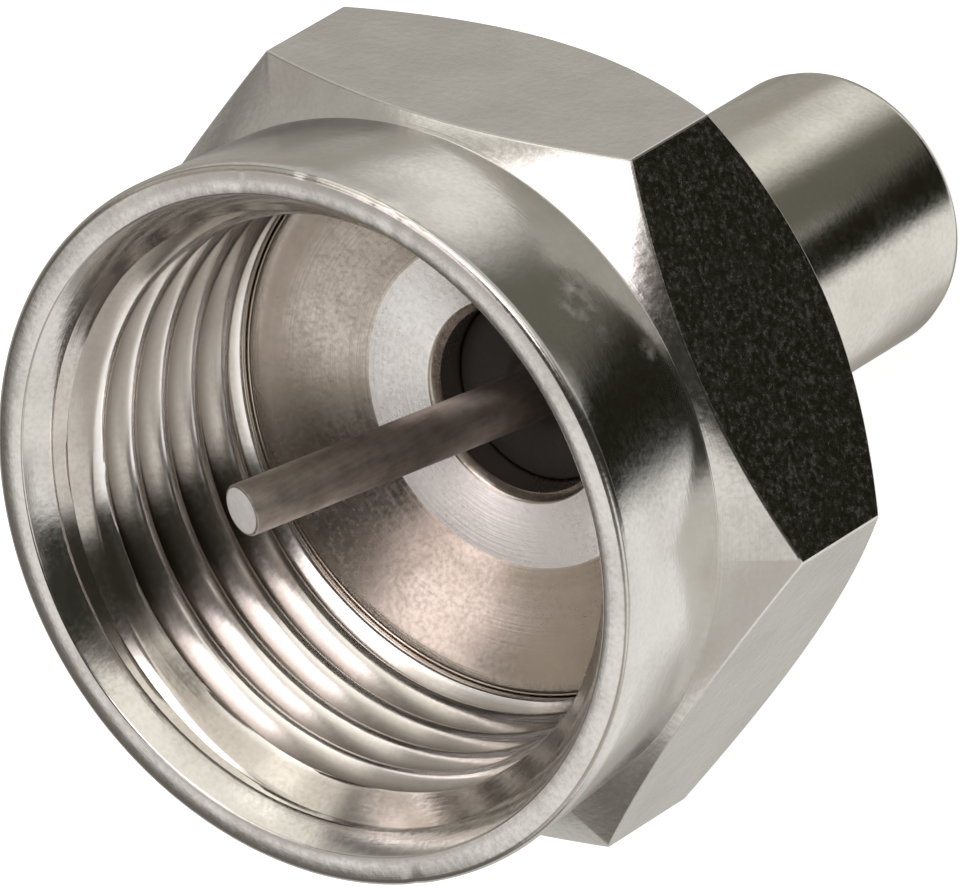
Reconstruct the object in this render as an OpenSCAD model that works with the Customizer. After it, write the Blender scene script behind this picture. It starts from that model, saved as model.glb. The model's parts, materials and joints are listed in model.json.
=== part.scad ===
// Coaxial terminator: a screw-on end for an unused coaxial outlet.
// A coupling nut turns freely on a flanged post. A barrel pressed onto the post's tail keeps the nut
// captive and closes the rear. Inside, an axial film resistor joins the centre pin to the barrel.
// Z runs along the axis with the mouth up. The origin is the middle of the barrel's rear face.

/* [Coupling nut] */
// Width across the flats of the hexagon
hex_flats = 11; // [10.8:0.05:11.2]
// Length of the hexagon along the axis, chamfers included
hex_len = 3.7; // [3:0.02:5]
// Slope of the hexagon's front chamfer, from the plane of the rim
front_chamfer_deg = 32; // [22:1:36]
// Slope of the hexagon's rear chamfer, from the plane of the rear face
rear_chamfer_deg = 45; // [30:1:50]
// Diameter of the flat rear face inside its chamfer
rear_face_d = 10.6; // [9.6:0.1:10.8]
// Outside diameter of the round collar at the rim
collar_d = 11.1; // [11:0.05:11.6]
// How much thinner the collar is at the groove, on each side
collar_taper = 0.18; // [0.1:0.01:0.24]
// Length of the collar, from the hexagon to the rim
collar_len = 2.64; // [2:0.02:4]
// Width of the groove between the hexagon and the collar
groove_w = 0.08; // [0.05:0.01:0.2]
// Wall left between the groove and the bore
groove_wall = 0.5; // [0.4:0.01:0.56]
// Broken outer edge of the rim
rim_break = 0.18; // [0.05:0.01:0.2]
// Diameter of the mouth at the rim
mouth_d = 10.2; // [10:0.1:10.7]
// Depth of the lead-in cone at the mouth
mouth_depth = 0.4; // [0.2:0.05:0.8]
// Diameter of the bore at the root of its thread
bore_d = 9.6; // [9.4:0.05:9.8]
// Slope of the cone where the thread runs out, from the plane of the rim
run_out_deg = 30; // [20:1:45]
// Height of the flange's seat above the flange's edge
seat_over = 0.1; // [0.05:0.01:0.3]
// Thickness of the inward lip at the rear
lip_t = 0.65; // [0.4:0.05:0.9]

/* [Post] */
// Diameter of the flange, which passes through the thread
flange_d = 8.45; // [7.8:0.05:8.6]
// Thickness of the flange at its edge
flange_t = 0.97; // [0.85:0.01:1.1]
// Flat land round the edge of the flange's dished front
flange_land = 0.1; // [0.05:0.01:0.2]
// Depth of the dish below the flange's edge
dish_depth = 0.57; // [0.3:0.01:0.6]
// How far the dish's slope is hollowed below a straight cone
dish_hollow = 0.06; // [0.02:0.01:0.08]
// Outside diameter of the flat ring at the bottom of the dish
ring_d = 5.1; // [4.4:0.1:5.6]
// Wall of the tail round the post's bore
tail_wall = 0.3; // [0.2:0.02:0.4]
// Chamfer at the mouth of the post's bore
post_chamfer = 0.12; // [0.05:0.01:0.2]
// Length of the tail that is pressed into the barrel
tail_grip = 3.25; // [2:0.05:5]

/* [Barrel] */
// Outside diameter of the barrel
barrel_d = 4.4; // [4.2:0.05:5.2]
// Wall of the barrel round the post's tail
barrel_wall = 0.44; // [0.35:0.01:0.6]
// Length of the barrel
barrel_len = 7.65; // [7.4:0.05:10]
// Thickness of the barrel's rear wall
end_wall = 0.7; // [0.5:0.05:0.9]
// Broken edge at the barrel's front end
barrel_break = 0.15; // [0.05:0.01:0.2]
// Softened edge at the barrel's rear end
rear_break = 0.3; // [0.1:0.02:0.4]
// Width of the solder's countersink, beyond the lead on each side
solder_margin = 0.5; // [0.3:0.05:0.8]
// Width of the countersink's narrow end, beyond the lead on each side
solder_neck = 0.15; // [0.1:0.01:0.25]
// Depth of the solder's countersink
solder_depth = 0.45; // [0.2:0.05:0.48]
// Clear gap between the rear face and the solder
solder_recess = 0.05; // [0.02:0.01:0.1]

/* [Centre pin] */
// Diameter of the pin, which is the resistor's front lead
pin_d = 0.8; // [0.6:0.05:1]
// How far the pin stands out past the rim
pin_reach = 1.16; // [0.5:0.02:3]
// Lean of the pin from the axis
pin_lean_deg = 6.2; // [0:0.1:8]
// Direction in which the pin leans, about the axis
pin_lean_dir = 10.5; // [0:0.5:359.5]
// How far the metal swells at the pin's bend
bend_swell = 0.02; // [0.01:0.01:0.04]
// Gap between the insulator's front face and the pin's bend
bend_gap = 0.03; // [0.01:0.01:0.3]

/* [Insulator and resistor] */
// Length of the insulator bead
bead_len = 1; // [0.6:0.05:1.1]
// Depth of the bead's front face below the flat ring
bead_recess = 0.7; // [0.4:0.05:0.9]
// Diameter of the resistor's coated ends
resistor_d = 2.3; // [2.1:0.05:2.5]
// Free space at each end of the resistor
resistor_gap = 0.325; // [0.2:0.025:0.6]
// How much thinner the coated waist is on each side
waist_step = 0.15; // [0.05:0.05:0.2]
// Thickness of the coating over the end caps
coat_t = 0.2; // [0.1:0.05:0.25]
// Length of each end cap
cap_len = 1.2; // [0.8:0.1:1.6]
// Wall of each end cap
cap_wall = 0.18; // [0.1:0.02:0.25]
// Diameter of the ground lead
lead_d = 0.8; // [0.6:0.05:1]

/* [Fits] */
// Radial clearance of the nut's lip on the post's tail
running_clearance = 0.06; // [0.03:0.01:0.1]
// Radial clearance of the flange in the nut's seat
flange_clearance = 0.13; // [0.08:0.01:0.2]
// Axial play of the lip at each side
axial_play = 0.05; // [0.03:0.01:0.1]
// Radial gap of parts that are pressed or glued together
seat_gap = 0.01; // [0.005:0.005:0.02]

/* [Hidden] */
$fn = 96;

hex_sides = 6;
dish_steps = 8;
// Overshoot of a cutting shape past the face that it cuts
cut = 0.5;

nickel = [0.78, 0.76, 0.73];
tin = [0.55, 0.51, 0.48];
black_plastic = [0.05, 0.045, 0.04];
ceramic = [0.86, 0.84, 0.78];
coating_blue = [0.32, 0.5, 0.62];
solder_grey = [0.7, 0.7, 0.69];

// Stations along the axis
nut_z = barrel_len + axial_play;
lip_top_z = nut_z + lip_t;
flange_back_z = lip_top_z + axial_play;
flange_front_z = flange_back_z + flange_t;
ring_z = flange_front_z - dish_depth;
bead_top_z = ring_z - bead_recess;
bead_bottom_z = bead_top_z - bead_len;
bend_z = bead_top_z + bend_gap + bend_swell + pin_d / 2;
rim_z = nut_z + hex_len + collar_len;
tip_z = rim_z + pin_reach;
resistor_z = end_wall + resistor_gap;
resistor_top_z = bead_bottom_z - resistor_gap;

// Sizes that follow from the fits
barrel_bore_d = barrel_d - 2 * barrel_wall;
tail_d = barrel_bore_d - 2 * seat_gap;
post_bore_d = tail_d - 2 * tail_wall;
lip_hole_d = tail_d + 2 * running_clearance;
seat_d = flange_d + 2 * flange_clearance;
bead_d = post_bore_d - 2 * seat_gap;
bar_r = hex_flats / 2 / cos(180 / hex_sides) + cut;
resistor_len = resistor_top_z - resistor_z;
cap_d = resistor_d - 2 * coat_t;
core_d = cap_d - 2 * cap_wall - 2 * seat_gap;
core_len = resistor_len - 2 * coat_t - 2 * cap_wall - 2 * seat_gap;

// The nut as it leaves the lathe, before its flats are milled: rear chamfer, front chamfer, groove and
// collar. The bar is thicker than the hexagon's corners.
module nut_blank() {
    length = hex_len + collar_len;
    groove_r = bore_d / 2 + groove_wall;
    front_drop = (bar_r - groove_r) * tan(front_chamfer_deg);
    rear_rise = (bar_r - rear_face_d / 2) * tan(rear_chamfer_deg);
    rotate_extrude()
        polygon([
            [0, 0],
            [rear_face_d / 2, 0],
            [bar_r, rear_rise],
            [bar_r, hex_len - front_drop],
            [groove_r, hex_len],
            [groove_r, hex_len + groove_w],
            [collar_d / 2 - collar_taper, hex_len + groove_w],
            [collar_d / 2, length - rim_break],
            [collar_d / 2 - rim_break, length],
            [0, length]
        ]);
}

// What the mill takes off one side of the blank to leave a flat. It runs out in the groove.
module flat_cut() {
    translate([hex_flats / 2, -bar_r, -cut])
        cube([bar_r, 2 * bar_r, cut + hex_len + groove_w / 2]);
}

// Everything that the nut is bored out to, from the lip's hole to the lead-in cone at the mouth.
module nut_bore() {
    length = hex_len + collar_len;
    seat_top = flange_front_z + seat_over - nut_z;
    run_out_top = seat_top + (bore_d - seat_d) / 2 * tan(run_out_deg);
    rotate_extrude()
        polygon([
            [0, -cut],
            [lip_hole_d / 2, -cut],
            [lip_hole_d / 2, lip_t],
            [seat_d / 2, lip_t],
            [seat_d / 2, seat_top],
            [bore_d / 2, run_out_top],
            [bore_d / 2, length - mouth_depth],
            [mouth_d / 2, length],
            [mouth_d / 2, length + cut],
            [0, length + cut]
        ]);
}

module coupling_nut() {
    side_deg = 360 / hex_sides;
    color(nickel)
        translate([0, 0, nut_z])
            difference() {
                nut_blank();
                for (side = [0 : hex_sides - 1])
                    rotate([0, 0, side_deg * (side + 0.5)])
                        flat_cut();
                nut_bore();
            }
}

// Points of the dish's hollowed slope, from the flange's land down to the flat ring.
function dish_point(t) =
    let (land_r = flange_d / 2 - flange_land, hollow = 4 * dish_hollow * t * (1 - t))
    [land_r + (ring_d / 2 - land_r) * t, flange_front_z - dish_depth * t - hollow * (1 - t)];

module post() {
    tail_z = barrel_len - tail_grip;
    color(nickel)
        rotate_extrude()
            polygon([
                [post_bore_d / 2, tail_z],
                [tail_d / 2, tail_z],
                [tail_d / 2, flange_back_z],
                [flange_d / 2, flange_back_z],
                [flange_d / 2, flange_front_z],
                each [for (i = [0 : dish_steps]) dish_point(i / dish_steps)],
                [post_bore_d / 2 + post_chamfer, ring_z],
                [post_bore_d / 2, ring_z - post_chamfer]
            ]);
}

// The tapered part of the solder's countersink or, drawn in by a gap, the solder that fills it.
module solder_cone(gap) {
    translate([0, 0, solder_recess])
        cylinder(
            r1 = lead_d / 2 + solder_margin - gap,
            r2 = lead_d / 2 + solder_neck - gap,
            h = solder_depth - solder_recess - gap
        );
}

module barrel() {
    color(nickel)
        difference() {
            rotate_extrude()
                polygon([
                    [0, 0],
                    [barrel_d / 2 - rear_break, 0],
                    [barrel_d / 2, rear_break],
                    [barrel_d / 2, barrel_len - barrel_break],
                    [barrel_d / 2 - barrel_break, barrel_len],
                    [0, barrel_len]
                ]);
            translate([0, 0, end_wall])
                cylinder(d = barrel_bore_d, h = barrel_len);
            translate([0, 0, -cut])
                cylinder(d = lead_d + 2 * seat_gap, h = barrel_len);
            translate([0, 0, -cut])
                cylinder(r = lead_d / 2 + solder_margin, h = solder_recess + cut);
            solder_cone(0);
        }
}

module insulator_bead() {
    color(black_plastic)
        translate([0, 0, bead_bottom_z])
            difference() {
                cylinder(d = bead_d, h = bead_len);
                translate([0, 0, -cut])
                    cylinder(d = pin_d + 2 * seat_gap, h = bead_len + 2 * cut);
            }
}

// The front lead: straight through the bead, then leaning out of the mouth. The metal swells a little
// where it was bent.
module centre_pin() {
    root_z = resistor_top_z - coat_t + seat_gap;
    lean_len = (tip_z - bend_z) / cos(pin_lean_deg);
    color(tin) {
        translate([0, 0, root_z])
            cylinder(d = pin_d, h = bend_z - root_z);
        translate([0, 0, bend_z]) {
            sphere(d = pin_d + 2 * bend_swell);
            rotate([0, pin_lean_deg, pin_lean_dir])
                cylinder(d = pin_d, h = lean_len);
        }
    }
}

module resistor_core() {
    color(ceramic)
        translate([0, 0, resistor_z + coat_t + cap_wall + seat_gap])
            cylinder(d = core_d, h = core_len);
}

// A pressed cup with its mouth up, standing on its closed end.
module end_cap() {
    difference() {
        cylinder(d = cap_d, h = cap_len);
        translate([0, 0, cap_wall])
            cylinder(d = core_d + 2 * seat_gap, h = cap_len);
    }
}

module front_cap() {
    color(tin)
        translate([0, 0, resistor_top_z - coat_t])
            mirror([0, 0, 1])
                end_cap();
}

module rear_cap() {
    color(tin)
        translate([0, 0, resistor_z + coat_t])
            end_cap();
}

// The dipped coating: full over the caps, thinner over the waist between them.
module resistor_coating() {
    end_r = resistor_d / 2;
    shoulder = coat_t + cap_len + seat_gap;
    color(coating_blue)
        translate([0, 0, resistor_z])
            difference() {
                rotate_extrude()
                    polygon([
                        [0, 0],
                        [end_r - coat_t, 0],
                        [end_r, coat_t],
                        [end_r, shoulder],
                        [end_r - waist_step, shoulder + coat_t],
                        [end_r - waist_step, resistor_len - shoulder - coat_t],
                        [end_r, resistor_len - shoulder],
                        [end_r, resistor_len - coat_t],
                        [end_r - coat_t, resistor_len],
                        [0, resistor_len]
                    ]);
                for (z = [coat_t - seat_gap, resistor_len - shoulder])
                    translate([0, 0, z])
                        cylinder(d = cap_d + 2 * seat_gap, h = cap_len + 2 * seat_gap);
                translate([0, 0, coat_t])
                    cylinder(d = core_d + 2 * seat_gap, h = resistor_len - 2 * coat_t);
                translate([0, 0, -cut])
                    cylinder(d = lead_d + 2 * seat_gap, h = 2 * cut);
                translate([0, 0, resistor_len - cut])
                    cylinder(d = pin_d + 2 * seat_gap, h = 2 * cut);
            }
}

module ground_lead() {
    color(tin)
        translate([0, 0, solder_recess])
            cylinder(d = lead_d, h = resistor_z + coat_t - seat_gap - solder_recess);
}

module solder_joint() {
    color(solder_grey)
        difference() {
            solder_cone(seat_gap);
            translate([0, 0, -cut])
                cylinder(d = lead_d + 2 * seat_gap, h = barrel_len);
        }
}

coupling_nut();
post();
barrel();
insulator_bead();
centre_pin();
resistor_core();
front_cap();
rear_cap();
resistor_coating();
ground_lead();
solder_joint();
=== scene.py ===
# %% [markdown]
# # A screw-on coaxial terminator
# The real part is as long as a fingertip is wide. A nut with a threaded mouth turns freely on a
# flanged post, a slim barrel is pressed on behind it, and the front lead of a resistor stands out
# of the mouth as the centre pin. Nearly everything in view is turned brass with bright nickel
# plate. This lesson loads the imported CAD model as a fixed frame, and then builds a finely
# detailed piece over each solid that shows.

# %% Load the frame
import json
import math

import bmesh
import bpy
from mathutils import Matrix, Vector


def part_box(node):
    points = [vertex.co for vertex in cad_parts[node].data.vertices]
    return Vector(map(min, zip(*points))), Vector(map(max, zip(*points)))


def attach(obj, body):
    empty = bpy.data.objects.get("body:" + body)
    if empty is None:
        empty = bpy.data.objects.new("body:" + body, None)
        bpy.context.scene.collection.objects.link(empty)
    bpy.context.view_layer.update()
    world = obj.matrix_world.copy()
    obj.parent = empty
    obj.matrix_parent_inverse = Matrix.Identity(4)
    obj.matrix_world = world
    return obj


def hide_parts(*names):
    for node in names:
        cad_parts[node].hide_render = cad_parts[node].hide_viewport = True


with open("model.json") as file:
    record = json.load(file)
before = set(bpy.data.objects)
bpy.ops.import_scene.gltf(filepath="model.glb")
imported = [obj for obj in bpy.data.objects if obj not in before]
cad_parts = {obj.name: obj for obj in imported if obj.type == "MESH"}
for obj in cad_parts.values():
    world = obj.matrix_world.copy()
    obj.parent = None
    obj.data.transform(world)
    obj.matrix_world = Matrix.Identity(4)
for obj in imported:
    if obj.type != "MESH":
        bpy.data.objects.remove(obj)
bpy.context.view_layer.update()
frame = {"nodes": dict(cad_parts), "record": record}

# %% [markdown]
# ## Working in millimetres
# Blender's bevel ignores lengths that are very small, and this part's edges are rounded by a few
# hundredths of a millimetre. So each mesh is built in millimetres and scaled to metres when it is
# finished. The main stations come from the frame's boxes, so that the pieces follow the solids.

# %% Stations from the frame
MM = 0.001
nut_low, nut_high = (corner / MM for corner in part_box("coupling_nut"))
post_low, post_high = (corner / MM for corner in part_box("post"))
barrel_low, barrel_high = (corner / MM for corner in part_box("barrel"))
bead_low, bead_high = (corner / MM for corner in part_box("insulator_bead"))
pin_low, pin_high = (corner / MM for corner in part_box("centre_pin"))
print("nut from", round(nut_low.z, 3), "to", round(nut_high.z, 3), "mm up the axis")

# %% [markdown]
# ## Shader maths as Python
# A material is a graph of nodes, and long graphs are hard to read as code. This small class wraps
# one socket. Adding or multiplying two of them adds a Math node, so a formula looks like a
# formula. Its node method adds any other node: settings first, because some of them change which
# sockets the node has, and then the values or links of its sockets.

# %% A socket that Python can calculate with
class Wire:
    """One shader socket."""

    def __init__(self, tree, socket=None):
        self.tree = tree
        self.socket = socket

    def node(self, kind, settings=None, sockets=None, output=0):
        """Adds a node and returns one of its outputs."""
        added = self.tree.nodes.new(kind)
        for name, value in (settings or {}).items():
            setattr(added, name, value)
        for name, value in (sockets or {}).items():
            if isinstance(value, Wire):
                self.tree.links.new(value.socket, added.inputs[name])
            else:
                added.inputs[name].default_value = value
        return Wire(self.tree, added.outputs[output] if len(added.outputs) else None)

    def maths(self, operation, first, second=0.0):
        return self.node("ShaderNodeMath", {"operation": operation}, {0: first, 1: second})

    def __add__(self, other):
        return self.maths("ADD", self, other)

    def __rsub__(self, other):
        return self.maths("SUBTRACT", other, self)

    def __mul__(self, other):
        return self.maths("MULTIPLY", self, other)

    def __pow__(self, other):
        return self.maths("POWER", self, other)

    __radd__ = __add__
    __rmul__ = __mul__

    def ease(self, start, end):
        """0 before start, 1 after end and a smooth step between them."""
        return self.node(
            "ShaderNodeMapRange",
            {"interpolation_type": "SMOOTHSTEP"},
            {"Value": self, "From Min": start, "From Max": end},
        )

    def mix(self, first, second):
        """A colour between two others, with this socket as the share of the second."""
        return self.node(
            "ShaderNodeMix", {"data_type": "RGBA"}, {0: self, 6: first, 7: second}, output=2
        )

    def size(self):
        """The value without its sign."""
        return self.maths("ABSOLUTE", self)

    def dot(self, vector):
        return self.node(
            "ShaderNodeVectorMath", {"operation": "DOT_PRODUCT"}, {0: self, 1: vector}, "Value"
        )


# %% [markdown]
# ## What every finish shares
# Each finish starts as an empty material and ends in one shader with a bump. In between it mixes
# patterns that read Object coordinates, so that they stay on the piece when it moves. A speckle
# is plain noise. Lathe rings are a noise that reads only the distance from the axis and the
# height, which makes every streak run round the axis, as a lathe leaves it.

# %% Patterns and the shader
SPECKLE_ROUGHNESS = 0.55
RING_DETAIL = 3.0
RING_ROUGHNESS = 0.6


def rgba(red, green, blue):
    return (red, green, blue, 1.0)


def new_finish(name):
    """An empty material with its first wire."""
    finish = bpy.data.materials.new(name)
    finish.use_nodes = True
    finish.node_tree.nodes.clear()
    return finish, Wire(finish.node_tree)


def on_piece(start):
    """The piece's own coordinates."""
    return start.node("ShaderNodeTexCoord", output="Object")


def speckle(start, coordinates, per_mm, detail=2.0):
    """A noise with about this many spots to a millimetre."""
    return start.node(
        "ShaderNodeTexNoise",
        {"noise_dimensions": "3D"},
        {
            "Vector": coordinates, "Scale": per_mm / MM,
            "Detail": detail, "Roughness": SPECKLE_ROUGHNESS,
        },
        "Fac",
    )


def off_axis(start, coordinates):
    """The distance from the Z axis, and the height."""
    apart = start.node("ShaderNodeSeparateXYZ", {}, {"Vector": coordinates})
    across, along, up = (Wire(start.tree, socket) for socket in apart.socket.node.outputs)
    return (across * across + along * along) ** 0.5, up


def lathe_rings(start, coordinates, per_mm):
    """A noise that is the same all the way round the Z axis."""
    radius, up = off_axis(start, coordinates)
    flat = start.node("ShaderNodeCombineXYZ", {}, {"X": radius, "Y": up})
    return start.node(
        "ShaderNodeTexNoise",
        {"noise_dimensions": "2D"},
        {
            "Vector": flat, "Scale": per_mm / MM,
            "Detail": RING_DETAIL, "Roughness": RING_ROUGHNESS,
        },
        "Fac",
    )


def skin(start, colour, roughness, height, metallic=0.0):
    """Ends a finish with its shader. The bump's height is in metres."""
    normal = start.node(
        "ShaderNodeBump", {}, {"Strength": 1.0, "Distance": 1.0, "Height": height}
    )
    shader = start.node(
        "ShaderNodeBsdfPrincipled",
        {},
        {"Base Color": colour, "Metallic": metallic, "Roughness": roughness, "Normal": normal},
    )
    start.node("ShaderNodeOutputMaterial", {}, {"Surface": shader})


# %% [markdown]
# ## Bright nickel
# Plated brass is a mirror with faults: fine rings from the lathe tool, a soft grain from the
# bath, small pits, and cloudy patches where fingers have been. A mirror painted in one flat
# colour looks like plastic, so the faults are what makes it metal. Use adds spots on the collar
# that are scuffed dull. The thread also gets painted light: painted shade darkens the roots
# between the ridges, fading out next to the mouth, and a painted highlight pales the crests.

# %% Wear on the plate, and painted light in the thread
SCUFF_CORE = 0.2
SCUFF_PATCHES_PER_MM = 3.5
SCUFF_PATCH_EDGE = (0.34, 0.72)
# painted highlight on the thread's crests, then painted shade in its roots, fading out towards the
# mouth
CREST_HIGHLIGHT_R = (4.38, 4.48)
CREST_HIGHLIGHT_TINT = rgba(0.95, 0.925, 0.90)
ROOT_SHADE_R = (4.45, 4.67)
ROOT_SHADE_TINT = rgba(0.22, 0.19, 0.165)
ROOT_SHADE_TOP = 1.25
ROOT_SHADE_END = 0.65


def scuff(start, coordinates, middle, reach):
    """A patchy worn spot: 1 at its middle and 0 past its reach. Both are in millimetres."""
    away = start.node(
        "ShaderNodeVectorMath",
        {"operation": "DISTANCE"},
        {0: coordinates, 1: Vector(middle) * MM},
        "Value",
    )
    patches = speckle(start, coordinates, SCUFF_PATCHES_PER_MM, detail=5.0).ease(*SCUFF_PATCH_EDGE)
    return (1 - away.ease(SCUFF_CORE * reach * MM, reach * MM)) * patches


def thread_painted_light(start, coordinates, colour):
    """Painted shade between the ridges below the mouth, and a painted highlight on the crests."""
    radius, up = off_axis(start, coordinates)
    # painted shade in the roots, fading out towards the mouth
    below_mouth = 1 - up.ease((nut_high.z - ROOT_SHADE_TOP) * MM, (nut_high.z - ROOT_SHADE_END) * MM)
    root_shade = radius.ease(*(edge * MM for edge in ROOT_SHADE_R)) * below_mouth
    # painted highlight on the crests, laid over the painted shade
    return radius.ease(*(edge * MM for edge in CREST_HIGHLIGHT_R)).mix(
        CREST_HIGHLIGHT_TINT, root_shade.mix(colour, ROOT_SHADE_TINT)
    )


# %% The nickel finish
CLOUDS_PER_MM, CLOUD_EDGE = 0.9, (0.35, 0.7)
PITS_PER_MM, PIT_EDGE = 13.0, (0.30, 0.80)
GRAIN_PER_MM = 7.0
RINGS_PER_MM = 16.0
CLOUD_TINT, PIT_TINT = 0.6, 0.4
CLOUD_SATIN = 0.8
SCUFF_SATIN = 0.38


def nickel(
    name, bright, dull, gloss, satin, ring_depth, grain_depth,
    mottle=0.6, scuffs=(), metallic=1.0, painted_light=None,
):
    """Nickel plate between two tints and two roughnesses. Depths are in millimetres."""
    finish, start = new_finish(name)
    place = on_piece(start)
    clouds = speckle(start, place, CLOUDS_PER_MM).ease(*CLOUD_EDGE)
    grain = speckle(start, place, GRAIN_PER_MM)
    pits = speckle(start, place, PITS_PER_MM, detail=3.0).ease(*PIT_EDGE)
    rings = lathe_rings(start, place, RINGS_PER_MM)
    colour = (clouds * CLOUD_TINT + pits * PIT_TINT).mix(bright, dull)
    # painted light in the colour, where a finish has it: the thread's painted shade and painted
    # highlight
    if painted_light:
        colour = painted_light(start, place, colour)
    dullness = (clouds + rings) * (1 - mottle) * CLOUD_SATIN + pits * mottle
    roughness = gloss + (satin - gloss) * dullness
    for middle, reach in scuffs:
        roughness = roughness + SCUFF_SATIN * scuff(start, place, middle, reach)
    height = rings * (ring_depth * MM) + grain * (grain_depth * MM)
    skin(start, colour, roughness, height, metallic)
    return finish


# %% Six kinds of nickel
COLLAR_SCUFFS = [
    # the middle of a spot, and its reach, in millimetres
    ((1.6, -5.2, 12.75), 0.8),
    ((0.66, -5.36, 11.9), 0.25),
    ((2.0, -5.05, 12.5), 0.4),
]
NUT_TINTS = rgba(0.725, 0.705, 0.67), rgba(0.615, 0.59, 0.55)

turned_nickel = nickel(
    "turned nickel", *NUT_TINTS,
    gloss=0.10, satin=0.24, ring_depth=0.0010, grain_depth=0.0020, scuffs=COLLAR_SCUFFS,
)
milled_nickel = nickel(
    "milled nickel", *NUT_TINTS,
    gloss=0.11, satin=0.31, ring_depth=0.0, grain_depth=0.0034, mottle=0.9,
)
# its colour carries the thread's painted shade in the roots and painted highlight on the crests
thread_nickel = nickel(
    "cut thread nickel", rgba(0.66, 0.62, 0.575), rgba(0.54, 0.495, 0.45),
    gloss=0.10, satin=0.20, ring_depth=0.0006, grain_depth=0.0008, painted_light=thread_painted_light,
)
barrel_nickel = nickel(
    "drawn tube nickel", rgba(0.71, 0.685, 0.625), rgba(0.60, 0.57, 0.51),
    gloss=0.12, satin=0.26, ring_depth=0.0010, grain_depth=0.0020,
)
post_nickel = nickel(
    "warm thin nickel", rgba(0.66, 0.60, 0.54), rgba(0.53, 0.465, 0.40),
    gloss=0.13, satin=0.30, ring_depth=0.0018, grain_depth=0.0012,
)
faced_nickel = nickel(
    "satin faced nickel", rgba(0.93, 0.91, 0.89), rgba(0.86, 0.83, 0.80),
    gloss=0.20, satin=0.30, ring_depth=0.0022, grain_depth=0.0015, metallic=0.9,
)
nickels = turned_nickel, milled_nickel, thread_nickel, barrel_nickel, post_nickel, faced_nickel
print("nickel finishes:", ", ".join(finish.name for finish in nickels))

# %% [markdown]
# ## Turned pieces
# Nearly everything here was made on a lathe, and Blender has the same tool: spin sweeps an
# outline round an axis. A section is drawn as one face, its corners are rounded by beveling
# single vertices, the face is taken away and its outline is spun a full turn. A boolean of
# cylinders would also work, but its corners would stay razor sharp, and no real edge is. In a
# mirror a normal that is bent by a few degrees shows, so the weighted normals favour the largest
# face at a vertex. Their area threshold is an absolute one, so for a part this small it must be
# tiny too.

# %% Helpers for turned pieces
ROUND_STEPS = 432
SMALL_STEPS = 96
EDGE_SEGMENTS = 3
FINE_BREAK = 0.03
WELD = 1e-5
SHARP = math.radians(35)
LARGEST_FACE = 100
SAME_AREA = 4e-9


def section(corners):
    """A bmesh with the section of a turned piece, from rows of radius, height and rounding."""
    bm = bmesh.new()
    points = [bm.verts.new((radius, 0, height)) for radius, height, _ in corners]
    bm.faces.new(points)
    for size in sorted({rounding for _, _, rounding in corners if rounding}):
        chosen = [point for point, corner in zip(points, corners) if corner[2] == size]
        bmesh.ops.bevel(
            bm, geom=chosen, offset=size, offset_type="OFFSET", affect="VERTICES",
            segments=EDGE_SEGMENTS, profile=0.5, material=-1,
        )
    return bm


def turn(bm, steps=ROUND_STEPS):
    """Spins the section's outline once round the Z axis."""
    bmesh.ops.delete(bm, geom=bm.faces[:], context="FACES_ONLY")
    bmesh.ops.spin(
        bm, geom=bm.verts[:] + bm.edges[:], cent=(0, 0, 0), axis=(0, 0, 1),
        angle=math.tau, steps=steps, use_merge=True,
    )
    bmesh.ops.remove_doubles(bm, verts=bm.verts[:], dist=WELD)
    bmesh.ops.recalc_face_normals(bm, faces=bm.faces[:])
    return bm


def place_piece(bm, name, body, finishes, replaced=()):
    """Makes the bmesh an object in metres that rides on a body, and hides the solids it replaces.
    """
    for face in bm.faces:
        face.smooth = True
    for edge in bm.edges:
        edge.smooth = edge.calc_face_angle(0.0) < SHARP
    bmesh.ops.scale(bm, vec=(MM, MM, MM), verts=bm.verts[:])
    mesh = bpy.data.meshes.new(name)
    bm.to_mesh(mesh)
    bm.free()
    for finish in finishes:
        mesh.materials.append(finish)
    piece = bpy.data.objects.new(name, mesh)
    bpy.context.scene.collection.objects.link(piece)
    even = piece.modifiers.new("even shading", "WEIGHTED_NORMAL")
    even.keep_sharp = True
    even.weight = LARGEST_FACE
    even.thresh = SAME_AREA
    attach(piece, body)
    if replaced:
        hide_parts(*replaced)
    print(name, "has", len(mesh.polygons), "faces")
    return piece


# %% [markdown]
# ## The coupling nut, as it leaves the lathe
# The nut starts as a round bar. The lathe turns the collar, a thin groove behind it and a long
# chamfer, and bores the mouth, the cone where the thread runs out, the seat of the flange and the
# lip that runs on the post. The section below is that blank: the bar is left thicker than the
# hexagon's corners, because the flats are milled afterwards. The milling is what draws the curved
# edges where flat and chamfer meet, so it is done here in the same order.

# %% Turn the blank
HEX_SIDES = 6
HEX_LEN = 3.7
GROOVE_W = 0.08
GROOVE_WALL = 0.5
GROOVE_BREAK = 0.02
FRONT_CHAMFER = math.radians(32)
REAR_CHAMFER = math.radians(45)
REAR_FACE_R = 5.3
REAR_BREAK = 0.05
COLLAR_TAPER = 0.18
RIM_ROUND = 0.13
RIM_ZONE = 0.4
MOUTH_R = 5.08
MOUTH_DEPTH = 0.4
MOUTH_BREAK = 0.05
BORE_R = 4.8
RUN_OUT_SLOPE = math.radians(30)
SEAT_OVER = 0.1
FLANGE_CLEARANCE = 0.13
LIP_T = 0.65
LIP_HOLE_R = 1.81
LIP_BREAK = 0.06
BAR_SPARE = 0.5

half_side = math.pi / HEX_SIDES
collar_r = nut_high.y
flat_r = nut_high.x * math.cos(half_side)
bar_r = nut_high.x + BAR_SPARE
groove_r = BORE_R + GROOVE_WALL
hex_front = nut_low.z + HEX_LEN
lip_top = nut_low.z + LIP_T
collar_slope = COLLAR_TAPER / (nut_high.z - hex_front - GROOVE_W)
seat_r = post_high.x + FLANGE_CLEARANCE
seat_top = post_high.z + SEAT_OVER
run_out_top = seat_top + (BORE_R - seat_r) * math.tan(RUN_OUT_SLOPE)

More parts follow.
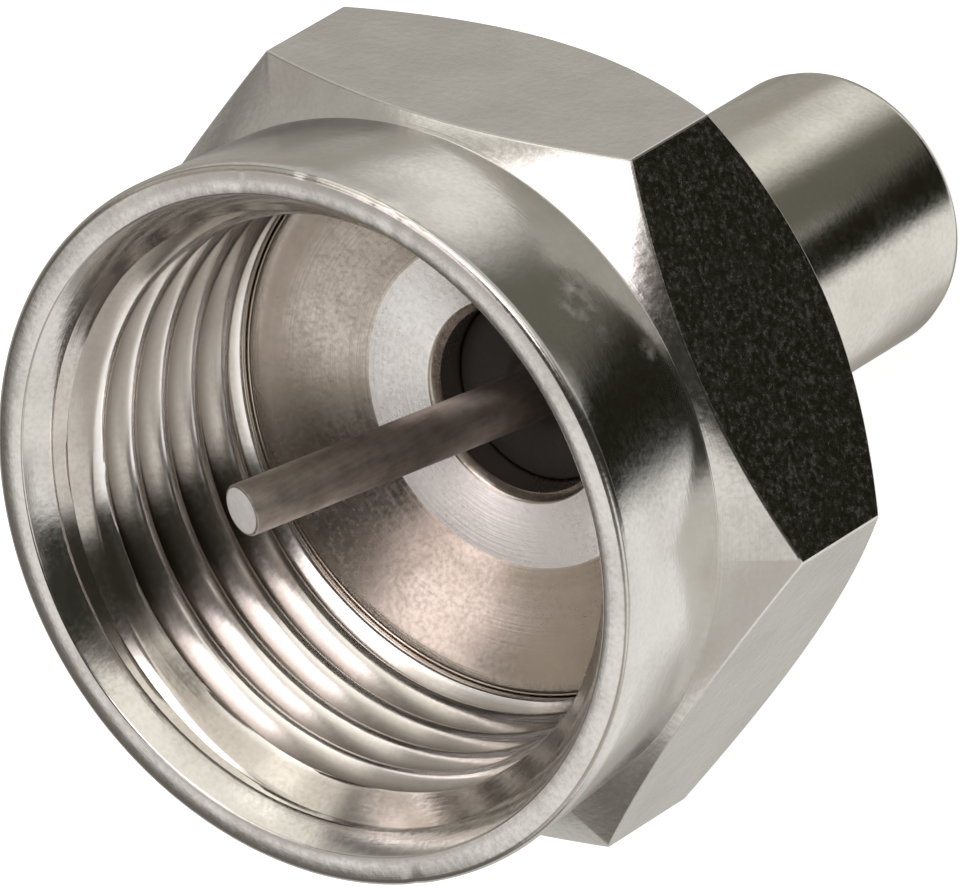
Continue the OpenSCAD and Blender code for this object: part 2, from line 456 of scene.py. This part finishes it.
nut_section = [
    (LIP_HOLE_R, nut_low.z, LIP_BREAK),
    (REAR_FACE_R, nut_low.z, REAR_BREAK),
    (bar_r, nut_low.z + (bar_r - REAR_FACE_R) * math.tan(REAR_CHAMFER), 0),
    (bar_r, hex_front - (bar_r - groove_r) * math.tan(FRONT_CHAMFER), 0),
    (groove_r, hex_front, GROOVE_BREAK),
    (groove_r, hex_front + GROOVE_W, 0),
    (collar_r - COLLAR_TAPER, hex_front + GROOVE_W, FINE_BREAK),
    (collar_r - RIM_ZONE * collar_slope, nut_high.z - RIM_ZONE, 0),
    (collar_r, nut_high.z, RIM_ROUND),
    (MOUTH_R, nut_high.z, FINE_BREAK),
    (BORE_R, nut_high.z - MOUTH_DEPTH, MOUTH_BREAK),
    (BORE_R, run_out_top, FINE_BREAK),
    (seat_r, seat_top, FINE_BREAK),
    (seat_r, lip_top, FINE_BREAK),
    (LIP_HOLE_R, lip_top, LIP_BREAK),
]
nut = turn(section(nut_section))
print("flats", round(2 * flat_r, 2), "mm across, blank", round(2 * bar_r, 2), "mm")

# %% [markdown]
# ## Milling the flats
# bisect_plane cuts the blank like a saw. Only the faces of the hexagon's zone are handed to it,
# so the collar stays whole, and the opening that each cut leaves is closed by one flat face. Then
# the new edges get a narrow bevel, since tumbling and plating round every edge a little, and that
# is where metal glints.

# %% Cut six flats
def hexagon_zone(bm):
    """Faces, edges and vertices of the blank between the rear face and the groove."""
    faces = [
        face for face in bm.faces
        if max(v.co.z for v in face.verts) < hex_front + WELD
        and max(math.hypot(v.co.x, v.co.y) for v in face.verts) > flat_r
    ]
    edges = {edge for face in faces for edge in face.edges}
    verts = {vert for face in faces for vert in face.verts}
    return faces + list(edges) + list(verts)


for side in range(HEX_SIDES):
    facing = Matrix.Rotation(half_side * (2 * side + 1), 3, "Z") @ Vector((1, 0, 0))
    cut = bmesh.ops.bisect_plane(
        nut, geom=hexagon_zone(nut), dist=WELD, plane_co=facing * flat_r, plane_no=facing,
        clear_outer=True,
    )
    rim = [item for item in cut["geom_cut"] if isinstance(item, bmesh.types.BMEdge)]
    bmesh.ops.edgeloop_fill(nut, edges=rim)
bmesh.ops.recalc_face_normals(nut, faces=nut.faces[:])
print("faces after", HEX_SIDES, "cuts:", len(nut.faces))

# %% Round the edges of the flats
FLAT_EDGE = 0.035
FLAT_FINISH = 1
UPRIGHT = 0.01
NEAR_FLAT = 0.05
QUAD = 4
BREAK_SEGMENTS = 2


def break_edges(bm, edges, width):
    """A narrow rounded bevel along these edges."""
    bmesh.ops.bevel(
        bm, geom=list(edges), offset=width, offset_type="OFFSET", affect="EDGES",
        segments=BREAK_SEGMENTS, profile=0.5, material=-1,
    )


flats = [
    face for face in nut.faces
    if abs(face.normal.z) < UPRIGHT and len(face.verts) > QUAD
    and abs(face.calc_center_median().xy.length - flat_r) < NEAR_FLAT
]
for face in flats:
    face.material_index = FLAT_FINISH
break_edges(nut, {edge for face in flats for edge in face.edges}, FLAT_EDGE)
print("flats milled:", len(flats))

# %% [markdown]
# ## Knocks on the rim
# The rim meets other metal every time the part is used, so its outer edge is not perfect: a few
# small dents catch the light. Each one pushes the edge in and down, most at its middle.

# %% Dent the rim's edge
RIM_DENTS = [
    # azimuth in degrees, then depth and half width in millimetres
    (-48, 0.009, 0.08), (-44, 0.011, 0.1), (-39, 0.008, 0.1),
    (-27.5, 0.009, 0.1), (-15, 0.008, 0.08), (171, 0.008, 0.12),
]
DENT_ZONE = 0.2

rim_edge = [
    vert for vert in nut.verts
    if vert.co.xy.length > collar_r - DENT_ZONE and vert.co.z > nut_high.z - DENT_ZONE
]
for vert in rim_edge:
    around = math.atan2(vert.co.y, vert.co.x)
    for azimuth, depth, half_width in RIM_DENTS:
        turn_away = (around - math.radians(azimuth) + math.pi) % math.tau - math.pi
        push = depth * math.exp(-((turn_away * collar_r / half_width) ** 2))
        vert.co -= Vector((math.cos(around), math.sin(around), 1.0)) * push
print("dents in the rim:", len(RIM_DENTS))

# %% [markdown]
# ## Three finishes on the nut
# The flats are milled and the rest is turned. Between the ridges of the thread the bore itself
# shows, as their root. So its wall gets the finish of the thread, and no seam shows between the
# two pieces.

# %% Place the nut
ROOT_FINISH = 2

for face in nut.faces:
    middle = face.calc_center_median()
    if lip_top < middle.z < nut_high.z - MOUTH_DEPTH and middle.xy.length < BORE_R + WELD:
        face.material_index = ROOT_FINISH
place_piece(
    nut, "nut_body", "nut", [turned_nickel, milled_nickel, thread_nickel],
    ["coupling_nut"],
)

# %% [markdown]
# ## The thread in the mouth
# The mouth has a fine right-hand thread. A ridge is one closed section, spun several turns while
# each step also lifts it a little: that is a helix. Its flanks are worn a little flatter than new
# ones, and a hyperbola rounds the crest between them. At the bottom the ridge sinks into the cone
# where the thread runs out. At the top the lead-in cone was cut last, so every point that would
# stand inside that cone is moved out to it.

# %% Spin the ridge
PITCH = 0.794
CREST_R = 4.36
CREST_ROUND = 0.18
FLANK_SLOPE = math.tan(math.radians(54.5))
RIDGE_HALF = PITCH / 2
RIDGE_POINTS = 28
THREAD_AZIMUTH = math.radians(-102)
THREAD_LOW = 9.437
THREAD_TURNS = 5.82
THREAD_STEPS = 144


def ridge_radius(offset):
    """Radius of the ridge this far along the axis from its crest."""
    return CREST_R - CREST_ROUND + math.hypot(CREST_ROUND, FLANK_SLOPE * offset)


thread = bmesh.new()
offsets = [RIDGE_HALF * (2 * step / RIDGE_POINTS - 1) for step in range(RIDGE_POINTS + 1)]
points = [thread.verts.new((ridge_radius(offset), 0, THREAD_LOW + offset)) for offset in offsets]
for low, high in zip(points, points[1:] + points[:1]):
    thread.edges.new((low, high))
bmesh.ops.rotate(thread, verts=points, matrix=Matrix.Rotation(THREAD_AZIMUTH, 3, "Z"))
bmesh.ops.spin(
    thread, geom=thread.verts[:] + thread.edges[:], cent=(0, 0, 0), axis=(0, 0, 1),
    dvec=(0, 0, PITCH / THREAD_STEPS), angle=math.tau * THREAD_TURNS,
    steps=round(THREAD_TURNS * THREAD_STEPS),
)
bmesh.ops.holes_fill(thread, edges=[edge for edge in thread.edges if edge.is_boundary])
print("ridge of", THREAD_TURNS, "turns with", len(thread.faces), "faces")

# %% Cut the lead-in
CONE_SINK = 0.015

cone_slope = (MOUTH_R - BORE_R) / MOUTH_DEPTH
for vert in thread.verts:
    vert.co.z = min(vert.co.z, nut_high.z - 2 * CONE_SINK)
    radius = vert.co.xy.length
    cone_r = MOUTH_R - cone_slope * (nut_high.z - vert.co.z) + CONE_SINK
    vert.co.xy *= max(radius, cone_r) / radius
bmesh.ops.dissolve_degenerate(thread, edges=thread.edges[:], dist=WELD)
bmesh.ops.recalc_face_normals(thread, faces=thread.faces[:])
place_piece(thread, "nut_thread", "nut", [thread_nickel])

# %% [markdown]
# ## The post
# The post closes the bottom of the mouth. Its flange holds the nut on, and its face is dished
# down to a ring round a bore. The dish is slightly hollow, which bends the light into the soft
# bands of a shallow bowl, so its slope is drawn by a short formula instead of one straight line.
# The ring slopes only a little and was faced with a finer cut, so it is paler than the dish.

# %% Turn the post
FLANGE_T = 0.97
FLANGE_SPREAD = 0.112
FLANGE_LAND = 0.1
FLANGE_BACK_BREAK = 0.05
FLANGE_FRONT_BREAK = 0.045
DISH_DEPTH = 0.57
DISH_HOLLOW = 0.06
DISH_STEPS = 10
RING_R = 2.55
RING_DROP = 0.15
RING_FACING = 0.97
RING_FINISH = 1
POST_BORE_R = 1.45
POST_CHAMFER = 0.12
TAIL_R = 1.75
TAIL_BREAK = 0.04

flange_front, flange_r = post_high.z, post_high.x + FLANGE_SPREAD
flange_back = flange_front - FLANGE_T
land_r = flange_r - FLANGE_LAND
ring_z = flange_front - DISH_DEPTH


def dish_corner(share):
    """A point of the dish's slope, from the land at 0 to the ring at 1."""
    hollow = 4 * DISH_HOLLOW * share * (1 - share) ** 2
    return land_r + (RING_R - land_r) * share, flange_front - DISH_DEPTH * share - hollow, 0


post_section = [
    (POST_BORE_R, post_low.z, TAIL_BREAK),
    (TAIL_R, post_low.z, TAIL_BREAK),
    (TAIL_R, flange_back, FINE_BREAK),
    (flange_r, flange_back, FLANGE_BACK_BREAK),
    (flange_r, flange_front, FLANGE_FRONT_BREAK),
    *[dish_corner(step / DISH_STEPS) for step in range(DISH_STEPS)],
    (RING_R, ring_z, FINE_BREAK),
    (POST_BORE_R + POST_CHAMFER, ring_z - RING_DROP, FINE_BREAK),
    (POST_BORE_R, ring_z - RING_DROP - POST_CHAMFER, FINE_BREAK),
]
post = turn(section(post_section))
for face in post.faces:
    middle = face.calc_center_median()
    if face.normal.z > RING_FACING and middle.xy.length < RING_R and middle.z < ring_z:
        face.material_index = RING_FINISH
place_piece(post, "post_turning", "body", [post_nickel, faced_nickel], ["post"])

# %% [markdown]
# ## The barrel
# The barrel is a smooth closed tube, pressed on the post's tail. Its rear wall has a small
# countersink, where the resistor's other lead comes through and is soldered. The inside is never
# seen, but the piece is still a real tube, because its mesh may be reused without the rest.

# %% Turn the barrel
FRONT_BREAK = 0.16
REAR_ROUND = 0.3
END_WALL = 0.7
BARREL_BORE_R = 1.76
BARREL_BORE_BREAK = 0.05
LEAD_HOLE_R = 0.41
SINK_R = 0.9
SINK_BREAK = 0.02
SINK_NECK_R = 0.55
SINK_DEPTH = 0.45
SINK_RECESS = 0.05

barrel_r = barrel_high.x
barrel_section = [
    (SINK_R, barrel_low.z, SINK_BREAK),
    (barrel_r, barrel_low.z, REAR_ROUND),
    (barrel_r, barrel_high.z, FRONT_BREAK),
    (BARREL_BORE_R, barrel_high.z, BARREL_BORE_BREAK),
    (BARREL_BORE_R, END_WALL, 0),
    (LEAD_HOLE_R, END_WALL, 0),
    (LEAD_HOLE_R, SINK_DEPTH, 0),
    (SINK_NECK_R, SINK_DEPTH, 0),
    (SINK_R, SINK_RECESS, 0),
]
barrel = turn(section(barrel_section))
place_piece(barrel, "barrel_tube", "body", [barrel_nickel], ["barrel"])

# %% [markdown]
# ## Matt black plastic, and the bead
# A moulded bead holds the pin in the middle of the post's bore. It lies in deep shade, so it
# reads as a dark hole, but it has a moulded grain, a rounded edge and a low collar round the pin,
# as such beads have.

# %% Mould the bead
BEAD_HOLE_R = 0.41
BEAD_LIP = 0.05
BEAD_COLLAR_R = 0.62
BEAD_DIP = 0.12
BEAD_ROUND = 0.08
BEAD_EDGE = 0.05
MOULD_GRAIN = 0.004
MOULD_GLOSS, MOULD_SATIN = 0.45, 0.25


def moulded_plastic(name, dark, pale):
    """Matt plastic with a fine moulded grain."""
    finish, start = new_finish(name)
    place = on_piece(start)
    grain = speckle(start, place, per_mm=14.0)
    clouds = speckle(start, place, per_mm=2.0)
    roughness = MOULD_GLOSS + MOULD_SATIN * grain
    skin(start, clouds.mix(dark, pale), roughness, grain * (MOULD_GRAIN * MM))
    return finish


bead_plastic = moulded_plastic(
    "black bead plastic", rgba(0.022, 0.019, 0.017), rgba(0.040, 0.034, 0.030)
)
bead_r = bead_high.x
bead_section = [
    (BEAD_HOLE_R, bead_low.z, 0),
    (bead_r, bead_low.z, BEAD_ROUND),
    (bead_r, bead_high.z - BEAD_DIP / 2, BEAD_EDGE),
    (BEAD_COLLAR_R, bead_high.z - BEAD_DIP, BEAD_ROUND),
    (BEAD_HOLE_R + BEAD_LIP, bead_high.z, FINE_BREAK),
    (BEAD_HOLE_R, bead_high.z, 0),
]
bead = turn(section(bead_section), SMALL_STEPS)
place_piece(bead, "bead_moulding", "body", [bead_plastic], ["insulator_bead"])

# %% [markdown]
# ## The centre pin
# The pin is plain wire: dull, a little brown, and pushed to one side by years of use. It stands
# straight in the bead and bends just above it. A ring of edges is extruded up, spun a few degrees
# about the bend's centre, and extruded on to the tip. Cutters left the end flat, a little slanted
# and brighter than the side, so the end has a finish of its own.

# %% Two finishes for the wire
STREAK_STRETCH = (1.0, 1.0, 0.12)
STAIN_TINT, STREAK_TINT = 0.6, 0.4
STAIN_EDGE = (0.3, 0.7)
WIRE_GRAIN = 0.004


def drawn_wire(name, bright, dull, gloss, satin, metallic=1.0):
    """Dull tinned wire, streaked along its length."""
    finish, start = new_finish(name)
    place = on_piece(start)
    drawn = start.node("ShaderNodeMapping", {}, {"Vector": place, "Scale": STREAK_STRETCH})
    streaks = speckle(start, drawn, per_mm=14.0)
    stains = speckle(start, place, per_mm=2.6, detail=4.0)
    colour = (stains * STAIN_TINT + streaks * STREAK_TINT).ease(*STAIN_EDGE).mix(bright, dull)
    roughness = gloss + (satin - gloss) * stains
    skin(start, colour, roughness, streaks * (WIRE_GRAIN * MM), metallic)
    return finish


dull_wire = drawn_wire(
    "dull tinned wire", rgba(0.58, 0.52, 0.475), rgba(0.36, 0.315, 0.285), gloss=0.34, satin=0.52,
)
cut_wire = drawn_wire(
    "cut wire end", rgba(0.93, 0.925, 0.91), rgba(0.80, 0.79, 0.77),
    gloss=0.34, satin=0.48, metallic=0.3,
)
print("wire finishes:", dull_wire.name, "and", cut_wire.name)

# %% Measure the bend
BEND_R = 3.0

pin_mount = next(mount for mount in frame["record"]["mounts"] if mount["name"] == "centre_pin")
pin_r = pin_mount["dims"]["r_mm"]
pin_place = Vector(pin_mount["pos_m"]) / MM
lean = Vector(pin_mount["axis"])
aside = lean.xy.normalized().to_3d()
lean_angle = math.acos(lean.z)
bend_z = pin_place.z - lean.z * pin_place.xy.length / lean.xy.length
bend_reach = BEND_R * math.tan(lean_angle / 2)
tip_length = (pin_high.z - pin_r * lean.xy.length - bend_z) / lean.z
print("pin leans", round(math.degrees(lean_angle), 1), "degrees, bends at", round(bend_z, 2), "mm")

# %% Bend the wire
WIRE_STEPS = 64
BEND_STEPS = 6


def open_edges(items):
    """The edges among these that have a face on one side only."""
    return [item for item in items if isinstance(item, bmesh.types.BMEdge) and item.is_boundary]


def raise_ring(bm, edges, move):
    """Extrudes a ring of edges and returns the new ring."""
    made = bmesh.ops.extrude_edge_only(bm, edges=edges)["geom"]
    raised = [item for item in made if isinstance(item, bmesh.types.BMVert)]
    bmesh.ops.translate(bm, vec=move, verts=raised)
    return open_edges(made)


pin = bmesh.new()
bmesh.ops.create_circle(
    pin, segments=WIRE_STEPS, radius=pin_r, matrix=Matrix.Translation((0, 0, pin_low.z))
)
ring = raise_ring(pin, pin.edges[:], (0, 0, bend_z - bend_reach - pin_low.z))
bent = bmesh.ops.spin(
    pin, geom=ring + list({vert for edge in ring for vert in edge.verts}),
    cent=aside * BEND_R + Vector((0, 0, bend_z - bend_reach)),
    axis=Vector((0, 0, 1)).cross(aside), angle=lean_angle, steps=BEND_STEPS,
)
ring = raise_ring(pin, open_edges(bent["geom_last"]), lean * (tip_length - bend_reach))
print("wire drawn with", len(pin.faces), "faces")

# %% Cut the tip
CUT_EDGE = 0.045
CUT_AZIMUTH = math.radians(100)
CUT_SLANT = math.radians(23)
CUT_DROP = 0.08
END_FINISH = 1


def height_of(face):
    return face.calc_center_median().z


tip_verts = {vert for edge in ring for vert in edge.verts}
tip_middle = sum((vert.co for vert in tip_verts), Vector()) / len(tip_verts)
slant_way = Matrix.Rotation(CUT_AZIMUTH, 3, "Z") @ Vector((1, 0, 0))
for vert in tip_verts:
    vert.co -= lean * (slant_way.dot(vert.co - tip_middle) * math.tan(CUT_SLANT) + CUT_DROP)
bmesh.ops.holes_fill(pin, edges=open_edges(pin.edges))
bmesh.ops.recalc_face_normals(pin, faces=pin.faces[:])
break_edges(pin, max(pin.faces, key=height_of).edges, CUT_EDGE)
ends = [face for face in pin.faces if len(face.verts) == WIRE_STEPS]
max(ends, key=height_of).material_index = END_FINISH
place_piece(pin, "pin_wire", "body", [dull_wire, cut_wire], ["centre_pin"])

# %% [markdown]
# ## Solder at the rear
# From behind, the only thing to see in the barrel's flat end is the soldered lead. Molten solder
# wets both metals, so its surface is hollow: high against the lead and against the wall of the
# countersink, and low between them.

# %% Fill the countersink
LEAD_R = 0.4
SOLDER_GAP = 0.01
SOLDER_RIM = 0.015
MENISCUS = 0.09
WET_W = 0.12
WET_SHARE = 0.6
WET_ROUND = 0.05
HOLLOW_ROUND = 0.08
FROST_EDGE = (0.35, 0.65)
FROST_GLOSS, FROST_SATIN = 0.28, 0.2
FROST_DEPTH = 0.006
LUMP_DEPTH = 0.03


def soft_solder(name, bright, dull):
    """Grey solder with a frosty, slightly lumpy skin."""
    finish, start = new_finish(name)
    place = on_piece(start)
    frost = speckle(start, place, per_mm=9.0, detail=4.0)
    lumps = speckle(start, place, per_mm=2.2)
    colour = frost.ease(*FROST_EDGE).mix(bright, dull)
    height = frost * (FROST_DEPTH * MM) + lumps * (LUMP_DEPTH * MM)
    skin(start, colour, FROST_GLOSS + FROST_SATIN * frost, height, metallic=1.0)
    return finish


solder_skin = soft_solder("soft solder", rgba(0.66, 0.66, 0.65), rgba(0.50, 0.50, 0.50))
solder_section = [
    (LEAD_R + SOLDER_GAP, SINK_RECESS + SOLDER_GAP, 0),
    (LEAD_R + WET_W, SINK_RECESS + WET_SHARE * MENISCUS, WET_ROUND),
    ((LEAD_R + SINK_R) / 2, SINK_RECESS + MENISCUS, HOLLOW_ROUND),
    (SINK_R - WET_W, SINK_RECESS + WET_SHARE * MENISCUS, WET_ROUND),
    (SINK_R - SOLDER_RIM, SINK_RECESS, 0),
    (SINK_NECK_R - SOLDER_GAP, SINK_DEPTH - SOLDER_GAP, 0),
    (LEAD_R + SOLDER_GAP, SINK_DEPTH - SOLDER_GAP, 0),
]
solder = turn(section(solder_section), SMALL_STEPS)
place_piece(solder, "solder_fillet", "body", [solder_skin], ["solder_joint"])

# %% [markdown]
# ## The resistor inside
# The barrel hides the resistor completely. Its CAD solids have the right shape already, so they
# stay as they are and only get their finishes: fired ceramic, tinned caps and lead, and dipped
# lacquer.

# %% Dress the hidden solids
GLAZE_DEPTH = 0.004
GLAZE_SATIN = 0.15


def glazed(name, bright, dull, roughness):
    """A ceramic or lacquer with faint mottling."""
    finish, start = new_finish(name)
    mottle = speckle(start, on_piece(start), per_mm=4.0, detail=3.0)
    satin = roughness + GLAZE_SATIN * mottle
    skin(start, mottle.mix(bright, dull), satin, mottle * (GLAZE_DEPTH * MM))
    return finish


ceramic_body = glazed("fired ceramic", rgba(0.80, 0.77, 0.70), rgba(0.70, 0.66, 0.58), 0.5)
lacquer_coat = glazed("dipped lacquer", rgba(0.10, 0.22, 0.35), rgba(0.06, 0.15, 0.26), 0.25)
hidden_finishes = {
    "resistor_core": ceramic_body,
    "resistor_coating": lacquer_coat,
    "front_cap": cut_wire,
    "rear_cap": cut_wire,
    "ground_lead": cut_wire,
}
for node, finish in hidden_finishes.items():
    solid = frame["nodes"][node].data
    solid.materials.clear()
    solid.materials.append(finish)
print("hidden solids dressed:", len(hidden_finishes))

# %% [markdown]
# ## Light for a mirror
# Polished metal has no colour to speak of: what shows is the room. A photographer lights it with
# pale sheets and black cards, and so does this world. Each card is a soft-edged sheet on the sky,
# given by its direction, its half width and height, and its brightness, and a later card covers
# an earlier one. The floor stays out of the reflections, so the lower half of the sky is what the
# sides of the part see. The upper half is for the chamfer, the mouth and the dish. The black
# cards stand above, in front and below, as if the camera and the arm that holds it were mirrored
# there.

# %% The sky's two halves and its cards
LOW_SKY = rgba(0.645, 0.64, 0.615)
HIGH_SKY = rgba(0.16, 0.147, 0.133)
BLACK_CARD = rgba(0.030, 0.029, 0.022)
CREST_CARD = rgba(0.98, 0.96, 0.93)
cards = [
    # azimuth, elevation, half width, half height and softness in degrees, then the colour,
    # with a note of where the card shows in the main picture
    (-150, -35, 36, 57, 4, rgba(0.98, 0.975, 0.96)),  # sides at the lower right
    (77, -40, 34, 36, 4, rgba(0.42, 0.40, 0.36)),  # outlines at the upper left
    (-18, -42, 9, 36, 4, rgba(0.88, 0.86, 0.82)),  # bright strip along collar and barrel
    (2, -74, 13, 18, 5, rgba(0.98, 0.96, 0.93)),  # the strip's foot, on the collar
    (-60, -54, 16, 30, 8, rgba(0.15, 0.145, 0.12)),  # dark strip beside it
    (40, -4, 22, 8, 4, rgba(0.44, 0.43, 0.41)),  # mouth cone, right
    (25, 28, 28, 16, 4, rgba(0.48, 0.46, 0.43)),  # thread, right
    (56, 47, 12, 10, 4, rgba(0.42, 0.37, 0.31)),  # dish, right
    (-175, 34, 33, 13, 4, rgba(0.60, 0.575, 0.54)),  # thread flanks, left
    (175, 15, 9, 8, 3, CREST_CARD),  # thread crests, upper left
    (-155, 18, 12, 7, 3, CREST_CARD),  # thread crests, left
    (-150, 53, 20, 11, 4, rgba(0.95, 0.94, 0.91)),  # chamfer, right, and thread flanks, left
    (155, 56, 20, 15, 5, rgba(0.46, 0.42, 0.385)),  # dish, left
    (79, 74, 16, 14, 5, BLACK_CARD),  # dish behind the pin
    (106, 58, 23, 13, 4, rgba(1.0, 0.99, 0.97)),  # rim, and the ring's upper half
    (80, 58, 9, 10, 4, rgba(0.50, 0.485, 0.47)),  # the ring's lower half
    (-34, 24, 37, 16, 4, rgba(1.15, 1.12, 1.04)),  # mouth cone and thread, below
    (-16, 12, 6, 6, 3, rgba(1.7, 1.68, 1.56)),  # glint on the first ridge
    (0, 54, 14, 10, 3, rgba(1.5, 1.47, 1.41)),  # chamfer, left of the bright corner
    (-39, 54, 15, 12, 3, rgba(3.3, 3.12, 3.2)),  # key light: bright corner, and thread below
    (-97, 62, 12, 42, 3, BLACK_CARD),  # black card above
    (-104, 8, 17, 24, 4, BLACK_CARD),  # black card in front
    (-104, -55, 12, 38, 4, rgba(0.013, 0.0125, 0.007)),  # black card below, for the dark flat
    (38, 69.5, 14, 8, 4, rgba(1.6, 1.42, 1.40)),  # warm light in the dish
]
print("cards in the studio:", len(cards))

# %% Hang them in the sky
HORIZON = (-0.1, 0.15)
FRONT_HALF = (0.0, 0.1)
UP = Vector((0, 0, 1))


def heading(azimuth, elevation):
    """The unit vector at these angles, in degrees."""
    around, above = math.radians(azimuth), math.radians(elevation)
    level = math.cos(above)
    return Vector((level * math.cos(around), level * math.sin(around), math.sin(above)))


studio = bpy.data.worlds.new("studio")
bpy.context.scene.world = studio
studio.use_nodes = True
studio.node_tree.nodes.clear()
sky_start = Wire(studio.node_tree)
looking = sky_start.node("ShaderNodeTexCoord", output="Generated")
sky = looking.dot(UP).ease(*HORIZON).mix(LOW_SKY, HIGH_SKY)
for azimuth, elevation, half_width, half_height, soft, colour in cards:
    middle = heading(azimuth, elevation)
    sideways = heading(azimuth + 90, 0)
    upright = middle.cross(sideways)
    inside = looking.dot(middle).ease(*FRONT_HALF)
    for side, half in ((sideways, half_width), (upright, half_height)):
        inner = math.sin(math.radians(half - soft))
        outer = math.sin(math.radians(min(half + soft, 90)))
        inside = inside * (1 - looking.dot(side).size().ease(inner, outer))
    sky = inside.mix(sky, colour)
light = sky_start.node("ShaderNodeBackground", {}, {"Color": sky, "Strength": 1.0})
sky_start.node("ShaderNodeOutputWorld", {}, {"Surface": light})
print("nodes in the sky:", len(studio.node_tree.nodes))

# %% [markdown]
# ## The floor
# The part stands on a plain white sheet. Diffuse paint alone would come out pale grey, so what
# the camera sees of it also glows a little: the sum is white, and the soft shadow round the
# barrel's end stays.

# %% Lay the floor
FLOOR_R = 1.5
FLOOR_STEPS = 64
FLOOR_GLOW = 0.72
FLOOR_PAPER = rgba(0.82, 0.82, 0.82)

floor_paint, floor_start = new_finish("white sheet")
paper = floor_start.node("ShaderNodeBsdfDiffuse", {}, {"Color": FLOOR_PAPER})
glow = floor_start.node("ShaderNodeEmission", {}, {"Strength": FLOOR_GLOW})
seen = floor_start.node("ShaderNodeLightPath", output="Is Camera Ray")
through = Wire(floor_start.tree, seen.socket.node.outputs["Is Transmission Ray"])
mirrored = Wire(floor_start.tree, seen.socket.node.outputs["Is Glossy Ray"])
lit_paper = floor_start.node("ShaderNodeAddShader", {}, {0: paper, 1: glow})
sheet = floor_start.node(
    "ShaderNodeMixShader", {}, {0: seen + through + mirrored, 1: paper, 2: lit_paper}
)
floor_start.node("ShaderNodeOutputMaterial", {}, {"Surface": sheet})

floor_bm = bmesh.new()
bmesh.ops.create_circle(floor_bm, cap_ends=True, segments=FLOOR_STEPS, radius=FLOOR_R)
floor_mesh = bpy.data.meshes.new("floor")
floor_bm.to_mesh(floor_mesh)
floor_bm.free()
floor_mesh.materials.append(floor_paint)
floor = bpy.data.objects.new("floor", floor_mesh)
bpy.context.scene.collection.objects.link(floor)
floor.visible_glossy = False
print("floor", 2 * FLOOR_R, "m across")

# %% [markdown]
# ## The camera
# The photograph looks down into the mouth through a long lens, and it is turned on its side: the
# part's axis runs from lower left to upper right. So the camera is placed by azimuth and
# elevation, and then rolled.

# %% Set the camera
VIEW_AZIMUTH = 10.513
VIEW_ELEVATION = 49.189
VIEW_ROLL = math.radians(-121.225)
VIEW_DISTANCE = 0.296
AIM = Vector((-0.6066, 1.9100, 7.5775)) * MM
LENS = 754.5
CLIP_START = 0.01

facing_camera = heading(VIEW_AZIMUTH - 90, VIEW_ELEVATION)
level_view = facing_camera.to_track_quat("Z", "Y")
lens = bpy.data.cameras.new("camera")
lens.lens = LENS
lens.clip_start = CLIP_START
camera = bpy.data.objects.new("camera", lens)
bpy.context.scene.collection.objects.link(camera)
camera.location = AIM + facing_camera * VIEW_DISTANCE
camera.rotation_euler = (level_view @ Matrix.Rotation(VIEW_ROLL, 3, "Z").to_quaternion()).to_euler()
bpy.context.scene.camera = camera
bpy.context.scene.view_settings.view_transform = "Standard"
print("camera at", [round(value, 4) for value in camera.location])
